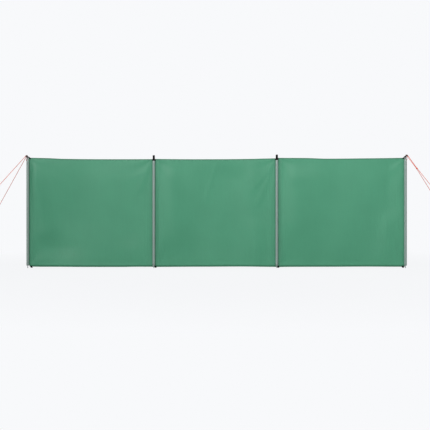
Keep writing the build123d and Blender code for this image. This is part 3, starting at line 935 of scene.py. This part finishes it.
def peg_skin(line, radius):
    """Bent rod up the lean of its line, cut off flat at the ground."""
    centre = line.low + line.across * line.bend
    outline = [(0.0, -20 * MM), (0.0, PEG_NECK), (-PEG_HOOK, PEG_NECK), (-PEG_HOOK, PEG_NECK - PEG_DROP)]
    path = np.array([centre + line.along * x + line.lean * z for x, z in rounded(outline, PEG_BEND, 8)])
    foot = path[0] + (path[1] - path[0]) * (path[0][2] / (path[0][2] - path[1][2]))
    steps = np.linspace(0, 1, 6)[:-1, None]
    path = np.concatenate([foot + (path[1] - foot) * steps, path[1:]])
    points, faces, _ = tube_along(path, radius, ROD_SIDES)
    lean = np.array(line.lean)
    for i in range(ROD_SIDES):
        points[i] -= lean * (points[i][2] / lean[2])
    return points, faces, None


# Stage


def stand_camera(scene):
    """Camera level with the middle of the cloth, square to it and 11 m away."""
    camera = bpy.data.cameras.new("camera")
    camera.lens = 71.0
    camera.sensor_width = 36.0
    camera.clip_end = 400.0
    seat = bpy.data.objects.new("camera", camera)
    seat.location = (2.428, -11.0, 0.687)
    seat.rotation_euler = (math.pi / 2, 0, 0)
    scene.collection.objects.link(seat)
    scene.camera = seat


def studio_world(scene, background):
    """Even white fill on the object, and the pale background where the camera sees past it."""
    world = bpy.data.worlds.new("studio")
    world.use_nodes = True
    scene.world = world
    world.node_tree.nodes.clear()
    ray = add(world, "ShaderNodeLightPath").outputs
    seen = add(world, "ShaderNodeMath", {0: ray["Is Camera Ray"], 1: ray["Is Transmission Ray"]},
               operation="MAXIMUM").outputs[0]
    fill = add(world, "ShaderNodeBackground", {"Color": (1, 1, 1, 1), "Strength": 0.36})
    shown = add(world, "ShaderNodeBackground", {"Color": background, "Strength": 1.0})
    mixed = add(world, "ShaderNodeMixShader", {0: seen, 1: fill.outputs[0], 2: shown.outputs[0]})
    add(world, "ShaderNodeOutputWorld", {"Surface": mixed.outputs[0]})


def pale_floor(scene, background):
    """Large pale floor that holds the shadow near the object and fades into the background."""
    material = bpy.data.materials.new("studio_floor_pale")
    material.use_nodes = True
    material.node_tree.nodes.clear()
    seen = add(material, "ShaderNodeLightPath").outputs["Is Camera Ray"]
    place = add(material, "ShaderNodeTexCoord").outputs["Object"]
    far = add(material, "ShaderNodeVectorMath", {0: place}, operation="LENGTH").outputs["Value"]
    fade = add(material, "ShaderNodeMapRange", {"Value": far, "From Min": 2.5, "From Max": 6.0,
                                                "To Min": 0.93, "To Max": 1.0}).outputs[0]
    share = add(material, "ShaderNodeMath", {0: seen, 1: fade}, operation="MULTIPLY").outputs[0]
    matt = add(material, "ShaderNodeBsdfDiffuse", {"Color": (0.64, 0.64, 0.64, 1)})
    glow = add(material, "ShaderNodeEmission", {"Color": background, "Strength": 1.0})
    mixed = add(material, "ShaderNodeMixShader", {0: share, 1: matt.outputs[0], 2: glow.outputs[0]})
    add(material, "ShaderNodeOutputMaterial", {"Surface": mixed.outputs[0]})
    radius, sides = 120, 96
    turns = np.linspace(0, 2 * math.pi, sides, endpoint=False)
    disc = bpy.data.meshes.new("floor")
    rim = [(radius * math.cos(t), radius * math.sin(t), 0) for t in turns]
    disc.from_pydata(rim, [], [list(range(sides))])
    disc.materials.append(material)
    floor = bpy.data.objects.new("floor", disc)
    floor.location = (2.45, 0, -0.5 * MM)
    scene.collection.objects.link(floor)


def softboxes(scene):
    """Lamps: name, kind, place, aim, size (degrees for a sun, else width and height) and power."""
    lamps = (
        ("softbox_above", "AREA", (3.4, -2.5, 3.2), (3.4, 0.2, 0.9), (8.0, 1.4), 103.0),
        ("softbox_left", "SUN", (0.5, -6.2, 3.2), (2.4, 0.0, 0.7), 14.0, 0.85),
        ("softbox_side", "SUN", (-6.9, -4.9, 1.6), (2.4, 0.0, 0.75), 16.0, 0.48),
        ("softbox_right", "AREA", (7.4, -2.8, 1.1), (4.9, 0.0, 0.8), (1.0, 1.5), 6.0),
        ("softbox_behind", "AREA", (2.45, 4.0, 3.0), (2.45, 0.0, 0.7), (6.0, 1.5), 60.0),
    )
    for name, kind, spot, aim, size, power in lamps:
        lamp = bpy.data.lights.new(name, kind)
        lamp.energy = power
        if kind == "SUN":
            lamp.angle = math.radians(size)
        else:
            lamp.shape = "RECTANGLE"
            lamp.size, lamp.size_y = size
        stand = bpy.data.objects.new(name, lamp)
        stand.location = spot
        stand.rotation_euler = (Vector(aim) - Vector(spot)).to_track_quat("-Z", "Y").to_euler()
        scene.collection.objects.link(stand)


# Operators, one for each piece or group of like pieces


def sizes_of(context):
    """The sizes that a user would change."""
    return context.scene.windbreak_sizes


class WINDBREAK_OT_stage(bpy.types.Operator):
    """Set the camera, the lights, the floor and the pale surroundings"""

    bl_idname = "windbreak.stage"
    bl_label = "Stage"

    def execute(self, context):
        scene = context.scene
        scene.view_settings.view_transform = "Standard"
        background = linear(scene.windbreak_colours.background)
        stand_camera(scene)
        studio_world(scene, background)
        pale_floor(scene, background)
        softboxes(scene)
        return {"FINISHED"}


class WINDBREAK_OT_materials(bpy.types.Operator):
    """Make the finishes of the cloth, tape, webbing, steel, plastic and cord"""

    bl_idname = "windbreak.materials"
    bl_label = "Finishes"

    def execute(self, context):
        make_materials(context.scene.windbreak_colours)
        return {"FINISHED"}


class WINDBREAK_OT_panels(bpy.types.Operator):
    """Make the three bays of cloth"""

    bl_idname = "windbreak.panels"
    bl_label = "Cloth panels"

    def execute(self, context):
        sizes = sizes_of(context)
        for number in BAYS:
            cloth = cloth_skin(Bay(number, sizes), sizes.cloth)
            piece(f"cloth_sheet_{number}", cloth, "green_cloth", [f"cloth_panel_{number}"])
        return {"FINISHED"}


class WINDBREAK_OT_hems(bpy.types.Operator):
    """Fold the binding tape over the edges of the cloth"""

    bl_idname = "windbreak.hems"
    bl_label = "Hems"

    def execute(self, context):
        sizes = sizes_of(context)
        for number in BAYS:
            bay = Bay(number, sizes)
            xs = bay.columns(8 * MM, 6 * MM)
            tape = folded_tape(bay, sizes, xs, lambda x, d, o: bay.place(x, bay.top(x) - d, o), sizes.top_hem)
            piece(f"top_tape_{number}", tape, "binding_tape", [f"top_hem_{number}"])
            tape = folded_tape(bay, sizes, xs, lambda x, d, o: bay.place(x, bay.bottom(x) + d, -o),
                               sizes.bottom_hem)
            piece(f"bottom_tape_{number}", tape, "binding_tape", [f"bottom_hem_{number}"])
        for side, number in END_BAYS.items():
            bay = Bay(number, sizes)
            edge, inward = bay.edge(side)
            low = bay.low + sizes.bottom_hem + 0.5 * MM
            high = float(bay.top(edge)) - sizes.top_hem - 0.5 * MM
            tape = folded_tape(bay, sizes, np.linspace(low, high, 180),
                               lambda z, d, o: bay.place(edge + d * inward, z, o * inward), sizes.side_hem)
            # The end tapes take the lighter strip colour: painted light against the shadow of the end poles
            piece(f"side_tape_{side}", tape, "binding_tape", [f"side_hem_{side}"], material="seam_cloth")
        return {"FINISHED"}


class WINDBREAK_OT_seams(bpy.types.Operator):
    """Lay the flat tape over the seam behind each inner pole"""

    bl_idname = "windbreak.seams"
    bl_label = "Seam tapes"

    def execute(self, context):
        for pole in INNER_POLES:
            low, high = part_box(f"seam_tape_{pole}")
            zs = np.linspace(low.z, high.z, 160)
            # The tape wanders by half a millimetre
            drift = 0.5 * MM * np.sin(zs * 9 + pole) * np.sin(zs * 23)
            centres = np.stack([(low.x + high.x) / 2 + drift, np.full(len(zs), (low.y + high.y) / 2), zs], 1)
            tape = ribbon(centres, (1, 0, 0), (high.x - low.x) / 2, high.y - low.y)
            # The lighter strip colour is painted light against the shadow of the inner pole
            piece(f"seam_strip_{pole}", tape, "binding_tape", [f"seam_tape_{pole}"], material="seam_cloth")
        return {"FINISHED"}


class WINDBREAK_OT_stitching(bpy.types.Operator):
    """Sew the tapes down with rows of stitches on both faces"""

    bl_idname = "windbreak.stitching"
    bl_label = "Stitching"

    def execute(self, context):
        sizes = sizes_of(context)
        skin = sizes.cloth / 2 + sizes.tape
        margin = 2.5 * MM
        rows = {"top": [], "bottom": [], "side": [], "seam": []}
        for number in BAYS:
            bay = Bay(number, sizes)
            xs = bay.columns(10 * MM, 6 * MM)
            for face in FACES:
                rows["top"].append(stitch_run(bay, xs, bay.top(xs) - sizes.top_hem + margin, face * skin))
                for up in (margin, sizes.bottom_hem - margin):
                    rows["bottom"].append(stitch_run(bay, xs, bay.bottom(xs) + up, face * skin))
            for side, end_bay in END_BAYS.items():
                edge, inward = bay.edge(side)
                low = bay.low + sizes.bottom_hem + 2 * MM
                high = float(bay.top(edge)) - sizes.top_hem - 2 * MM
                zs = np.linspace(low, high, 150)
                if number == end_bay:
                    for inset in (margin, sizes.side_hem - margin):
                        for face in FACES:
                            rows["side"].append(stitch_run(bay, edge + inset * inward, zs, face * skin))
                else:
                    inset = sizes.seam_tape / 2 - margin
                    rows["seam"].append(stitch_run(bay, edge + inset * inward, zs, sizes.cloth / 2))
        for pole in INNER_POLES:
            low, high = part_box(f"seam_tape_{pole}")
            for edge in (low.x + margin, high.x - margin):
                path = [(edge, low.y, low.z + 2 * MM), (edge, low.y, high.z - 2 * MM)]
                rows["seam"].append((path, [(0, -1, 0)] * 2))
        for where, runs in rows.items():
            piece(f"stitching_{where}", stitches(runs, sizes.stitch), "binding_tape", material="thread")
        # Bar tacks on the top hem: nine strokes side by side, this far from a pole
        tacks = []
        for number, inset in ((1, 48 * MM), (2, 49 * MM), (3, -48 * MM)):
            bay = Bay(number, sizes)
            x = (bay.left if inset > 0 else bay.right) + inset
            level = float(bay.top(x)) - np.array([0.5, 10.0]) * MM
            for step in np.arange(-4, 5) * MM:
                tacks.append(stitch_run(bay, np.full(2, x + step), level, -skin))
        piece("bar_tacks", stitches(tacks, 9 * MM, 1.3 * MM), "binding_tape", material="black_thread")
        return {"FINISHED"}


class WINDBREAK_OT_tubes(bpy.types.Operator):
    """Turn the four pole tubes with their rims"""

    bl_idname = "windbreak.tubes"
    bl_label = "Pole tubes"

    def execute(self, context):
        radius = pole_radius()
        bore, rim, end = radius - TUBE_WALL, 0.4 * MM, 20 * MM
        for pole in POLES:
            low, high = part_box(f"pole_tube_{pole}")
            outer = [(radius - rim, low.z), (radius, low.z + rim)]
            outer += [(radius, z) for z in np.linspace(low.z + end, high.z - end, 8)]
            outer += [(radius, high.z - rim), (radius - rim, high.z)]
            profile = outer + [(bore, high.z), (bore, low.z), outer[0]]
            tube = turned(profile, pole_x(pole), ends=False)
            piece(f"tube_{pole}", tube, "grey_tube", [f"pole_tube_{pole}"])
        return {"FINISHED"}


class WINDBREAK_OT_spikes(bpy.types.Operator):
    """Turn the ground spikes with their flanges"""

    bl_idname = "windbreak.spikes"
    bl_label = "Foot spikes"

    def execute(self, context):
        radius = pole_radius()
        plug = radius - PLUG_INSET
        for pole in POLES:
            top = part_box(f"foot_spike_{pole}")[1].z
            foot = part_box(f"pole_tube_{pole}")[0].z
            under = foot - FLANGE
            outline = [(NEAR_AXIS, 0.0), (SPIKE_RADIUS, 0.0), (SPIKE_RADIUS, under - 2 * MM),
                       (SPIKE_RADIUS + 2.2 * MM, under), (radius, under), (radius, foot), (plug, foot),
                       (plug, top), (NEAR_AXIS, top)]
            spike = turned(rounded(outline, 0.7 * MM, 3), pole_x(pole))
            piece(f"spike_{pole}", spike, "bare_steel", [f"foot_spike_{pole}"])
        return {"FINISHED"}


class WINDBREAK_OT_pole_tops(bpy.types.Operator):
    """Turn the end pins and the caps of the inner poles"""

    bl_idname = "windbreak.pole_tops"
    bl_label = "Pole tops"

    def execute(self, context):
        radius = pole_radius()
        plug, groove = radius - PLUG_INSET, CAP_RADIUS - 0.9 * MM
        for pole in POLES:
            low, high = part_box(f"pole_top_{pole}")
            rim, tip = rim_height(pole), high.z
            collar = cloth_top(pole) + COLLAR_RISE
            outline = [(plug, low.z), (plug, rim), (radius, rim)]
            if pole in END_POLES.values():
                outline += [(radius, rim + 2.6 * MM), (STEM_RADIUS + 0.6 * MM, rim + 3.6 * MM),
                            (STEM_RADIUS, rim + 5 * MM), (STEM_RADIUS, collar - 3 * MM),
                            (COLLAR_RADIUS, collar - 3 * MM), (COLLAR_RADIUS, collar),
                            (PIN_RADIUS, collar), (PIN_RADIUS, tip)]
                slot, corner = "black_steel", 1.6 * MM
            else:
                outline += [(radius, rim + FLANGE), (CAP_RADIUS, rim + FLANGE), (CAP_RADIUS, tip - 22 * MM),
                            (groove, tip - 21.2 * MM), (groove, tip - 19.4 * MM),
                            (CAP_RADIUS, tip - 18.6 * MM), (CAP_RADIUS, tip)]
                slot, corner = "black_plastic", 4 * MM
            profile = [(NEAR_AXIS, low.z)] + rounded(outline + [(NEAR_AXIS, tip)], corner, 5)
            points, faces, uv = turned(profile, pole_x(pole))
            if pole in END_POLES.values():
                points[:, 0] += pin_lean(pole, points[:, 2])
            piece(f"pole_cap_{pole}", (points, faces, uv), slot, [f"pole_top_{pole}"])
        return {"FINISHED"}


class WINDBREAK_OT_corner_straps(bpy.types.Operator):
    """Loop the webbing from each top corner of the cloth round its end pin"""

    bl_idname = "windbreak.corner_straps"
    bl_label = "Corner straps"

    def execute(self, context):
        sizes = sizes_of(context)
        around = PIN_RADIUS + CLEARANCE + sizes.webbing / 2
        skin = sizes.cloth / 2 + sizes.tape + sizes.webbing / 2 + 0.1 * MM
        sewn = np.linspace(37 * MM, 26 * MM, 7)
        turn = np.linspace(-math.pi * 0.36, -math.pi * 1.64, 21)
        for side, pole in END_POLES.items():
            bay = Bay(END_BAYS[side], sizes)
            edge, inward = bay.edge(side)
            x0, top, collar = pole_x(pole), cloth_top(pole), cloth_top(pole) + COLLAR_RISE
            # Seen from above: x, y, and how far inward from the pole's axis
            legs = []
            for face in FACES:
                leg = bay.place(x0 + inward * sewn, top - 9 * MM, face * skin)[:, :2]
                bend = (x0 + inward * 17 * MM, leg[-1][1] * 0.62 + face * around * 0.35, 17 * MM)
                legs.append(np.vstack([np.column_stack([leg, sewn]), bend]))
            loop = np.column_stack([x0 + inward * around * np.cos(turn), around * np.sin(turn),
                                    around * np.cos(turn)])
            x, y, reach = smooth_path(np.concatenate([legs[0], loop, legs[1][::-1]]), 3).T
            # It climbs from the hem to the collar, and widens a little on the way
            climb = 1 - smooth(reach, 4 * MM, 30 * MM)
            hem = float(bay.top(edge + inward * 30 * MM)) + 1 * MM
            slack = 4 * climb * (1 - climb) * 3.6 * MM
            low = hem - 15 * MM + climb * (collar + 0.4 * MM - hem + 15 * MM) - slack
            high = hem + climb * (collar + 14.8 * MM - hem) + slack
            middle = (low + high) / 2
            centres = np.column_stack([x + pin_lean(pole, middle) * climb, y, middle])
            strap = ribbon(centres, (0, 0, 1), (high - low) / 2, sizes.webbing)
            piece(f"strap_{side}", strap, "black_webbing", [f"corner_strap_{side}"])
        return {"FINISHED"}


class WINDBREAK_OT_pole_bands(bpy.types.Operator):
    """Lay the webbing saddles round the fronts of the inner poles"""

    bl_idname = "windbreak.pole_bands"
    bl_label = "Pole bands"

    def execute(self, context):
        sizes = sizes_of(context)
        ring = pole_radius() + CLEARANCE + sizes.webbing / 2
        turn = np.linspace(math.pi, 2 * math.pi, 25)
        for pole in INNER_POLES:
            low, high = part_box(f"pole_band_{pole}")
            x0, back = pole_x(pole), high.y - sizes.webbing / 2
            foot = (high.x - low.x) / 2 - 3.2 * MM
            path = [(x0 - foot, back), (x0 - ring - 1.5 * MM, back), (x0 - ring, back - 3 * MM)]
            path += [(x0 + ring * math.cos(t), ring * math.sin(t)) for t in turn]
            path += [(x0 + ring, back - 3 * MM), (x0 + ring + 1.5 * MM, back), (x0 + foot, back)]
            x, y = smooth_path(path, 2).T
            centres = np.column_stack([x, y, np.full(len(x), (low.z + high.z) / 2)])
            band = ribbon(centres, (0, 0, 1), (high.z - low.z) / 2, sizes.webbing)
            piece(f"band_{pole}", band, "black_webbing", [f"pole_band_{pole}"])
        return {"FINISHED"}


class WINDBREAK_OT_peg_loops(bpy.types.Operator):
    """Hang the webbing peg loops under the bottom edge"""

    bl_idname = "windbreak.peg_loops"
    bl_label = "Peg loops"

    def execute(self, context):
        sizes = sizes_of(context)
        ply = sizes.cloth / 2 + sizes.tape + sizes.webbing / 2 + 0.2 * MM
        eye = 6 * MM + sizes.webbing / 2
        turn = np.linspace(math.radians(155), math.radians(385), 21)
        for pole in POLES:
            low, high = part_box(f"peg_loop_{pole}")
            x0, y0 = (low.x + high.x) / 2, (low.y + high.y) / 2
            centre = low.z + eye + sizes.webbing / 2
            path = [(-ply, 27 * MM), (-ply, 24 * MM), (-ply, 20 * MM)]
            path += [(eye * math.cos(t), centre + eye * math.sin(t)) for t in turn]
            path += [(ply, 20 * MM), (ply, high.z * 0.7), (ply, high.z - 1 * MM)]
            y, z = smooth_path(path, 2).T
            lean = 0.28 if pole in END_POLES.values() else 0.12
            centres = np.column_stack([x0 + (20 * MM - z) * lean, y0 + y, z])
            loop = ribbon(centres, (1, 0, 0), (high.x - low.x) / 2 - 0.3 * MM, sizes.webbing)
            piece(f"loop_{pole}", loop, "black_webbing", [f"peg_loop_{pole}"])
        return {"FINISHED"}


class WINDBREAK_OT_guy_lines(bpy.types.Operator):
    """Run the guy lines from the end pins through the runners and round the pegs"""

    bl_idname = "windbreak.guy_lines"
    bl_label = "Guy lines"

    def execute(self, context):
        for line in guy_lines(sizes_of(context)):
            path, knots = line.course()
            skins = [tube_along(path, line.radius, 12)]
            for number, (spot, axis, size) in enumerate(knots):
                points, faces, uv = coil(spot, axis, size, line.radius * 0.9)
                # Only the first knot, at the eye, is stained: the others are mapped 1 m further on
                skins.append((points, faces, uv + (0, 1.0 if number else 0.0)))
            if line.side == "front":
                skins.append(tube_along(line.tail(), line.radius))
            piece(f"line_{line.name}", joined(skins), "orange_cord", [f"guy_line_{line.name}"])
        return {"FINISHED"}


class WINDBREAK_OT_runners(bpy.types.Operator):
    """Cut the three-hole runners and set them square on their lines"""

    bl_idname = "windbreak.runners"
    bl_label = "Runners"

    def execute(self, context):
        for line in guy_lines(sizes_of(context)):
            piece(f"slider_{line.name}", runner_skin(line), "runner_plastic", [f"runner_{line.name}"],
                  smooth=False)
        return {"FINISHED"}


class WINDBREAK_OT_pegs(bpy.types.Operator):
    """Bend the ground pegs, cut off at the ground"""

    bl_idname = "windbreak.pegs"
    bl_label = "Ground pegs"

    def execute(self, context):
        sizes = sizes_of(context)
        for line in guy_lines(sizes):
            peg = peg_skin(line, sizes.peg / 2)
            piece(f"peg_{line.name}", peg, "bare_steel", [f"ground_peg_{line.name}"])
        return {"FINISHED"}


class WINDBREAK_OT_cloth_facts(bpy.types.Operator):
    """Work out the shape of each bay of cloth, and make nothing from it"""

    bl_idname = "windbreak.cloth_facts"
    bl_label = "Cloth facts"

    def execute(self, context):
        for number in BAYS:
            bay = Bay(number, sizes_of(context))
        return {"FINISHED"}


OPERATORS = (
    WINDBREAK_OT_stage,
    WINDBREAK_OT_materials,
    WINDBREAK_OT_panels,
    WINDBREAK_OT_hems,
    WINDBREAK_OT_seams,
    WINDBREAK_OT_stitching,
    WINDBREAK_OT_tubes,
    WINDBREAK_OT_spikes,
    WINDBREAK_OT_pole_tops,
    WINDBREAK_OT_corner_straps,
    WINDBREAK_OT_pole_bands,
    WINDBREAK_OT_peg_loops,
    WINDBREAK_OT_guy_lines,
    WINDBREAK_OT_runners,
    WINDBREAK_OT_pegs,
    WINDBREAK_OT_cloth_facts,
)


class WINDBREAK_PT_pieces(bpy.types.Panel):
    """Buttons that make the pieces of the windbreak"""

    bl_idname = "WINDBREAK_PT_pieces"
    bl_label = "Windbreak"
    bl_space_type = "VIEW_3D"
    bl_region_type = "UI"
    bl_category = "Windbreak"

    def draw(self, context):
        for operator in OPERATORS:
            self.layout.operator(operator.bl_idname)
        for group in (context.scene.windbreak_sizes, context.scene.windbreak_colours):
            for key in group.__annotations__:
                self.layout.prop(group, key)


CLASSES = (WindbreakSizes, WindbreakColours, *OPERATORS, WINDBREAK_PT_pieces)


def register():
    """Register the add-on's classes and its properties on the scene."""
    for made in CLASSES:
        bpy.utils.register_class(made)
    bpy.types.Scene.windbreak_sizes = PointerProperty(type=WindbreakSizes)
    bpy.types.Scene.windbreak_colours = PointerProperty(type=WindbreakColours)


def unregister():
    """Take the add-on's classes and properties away again."""
    del bpy.types.Scene.windbreak_colours
    del bpy.types.Scene.windbreak_sizes
    for made in reversed(CLASSES):
        bpy.utils.unregister_class(made)


def main():
    """Make every piece in order."""
    register()
    for operator in OPERATORS:
        group, action = operator.bl_idname.split(".")
        getattr(getattr(bpy.ops, group), action)()


if __name__ == "__main__":
    main()
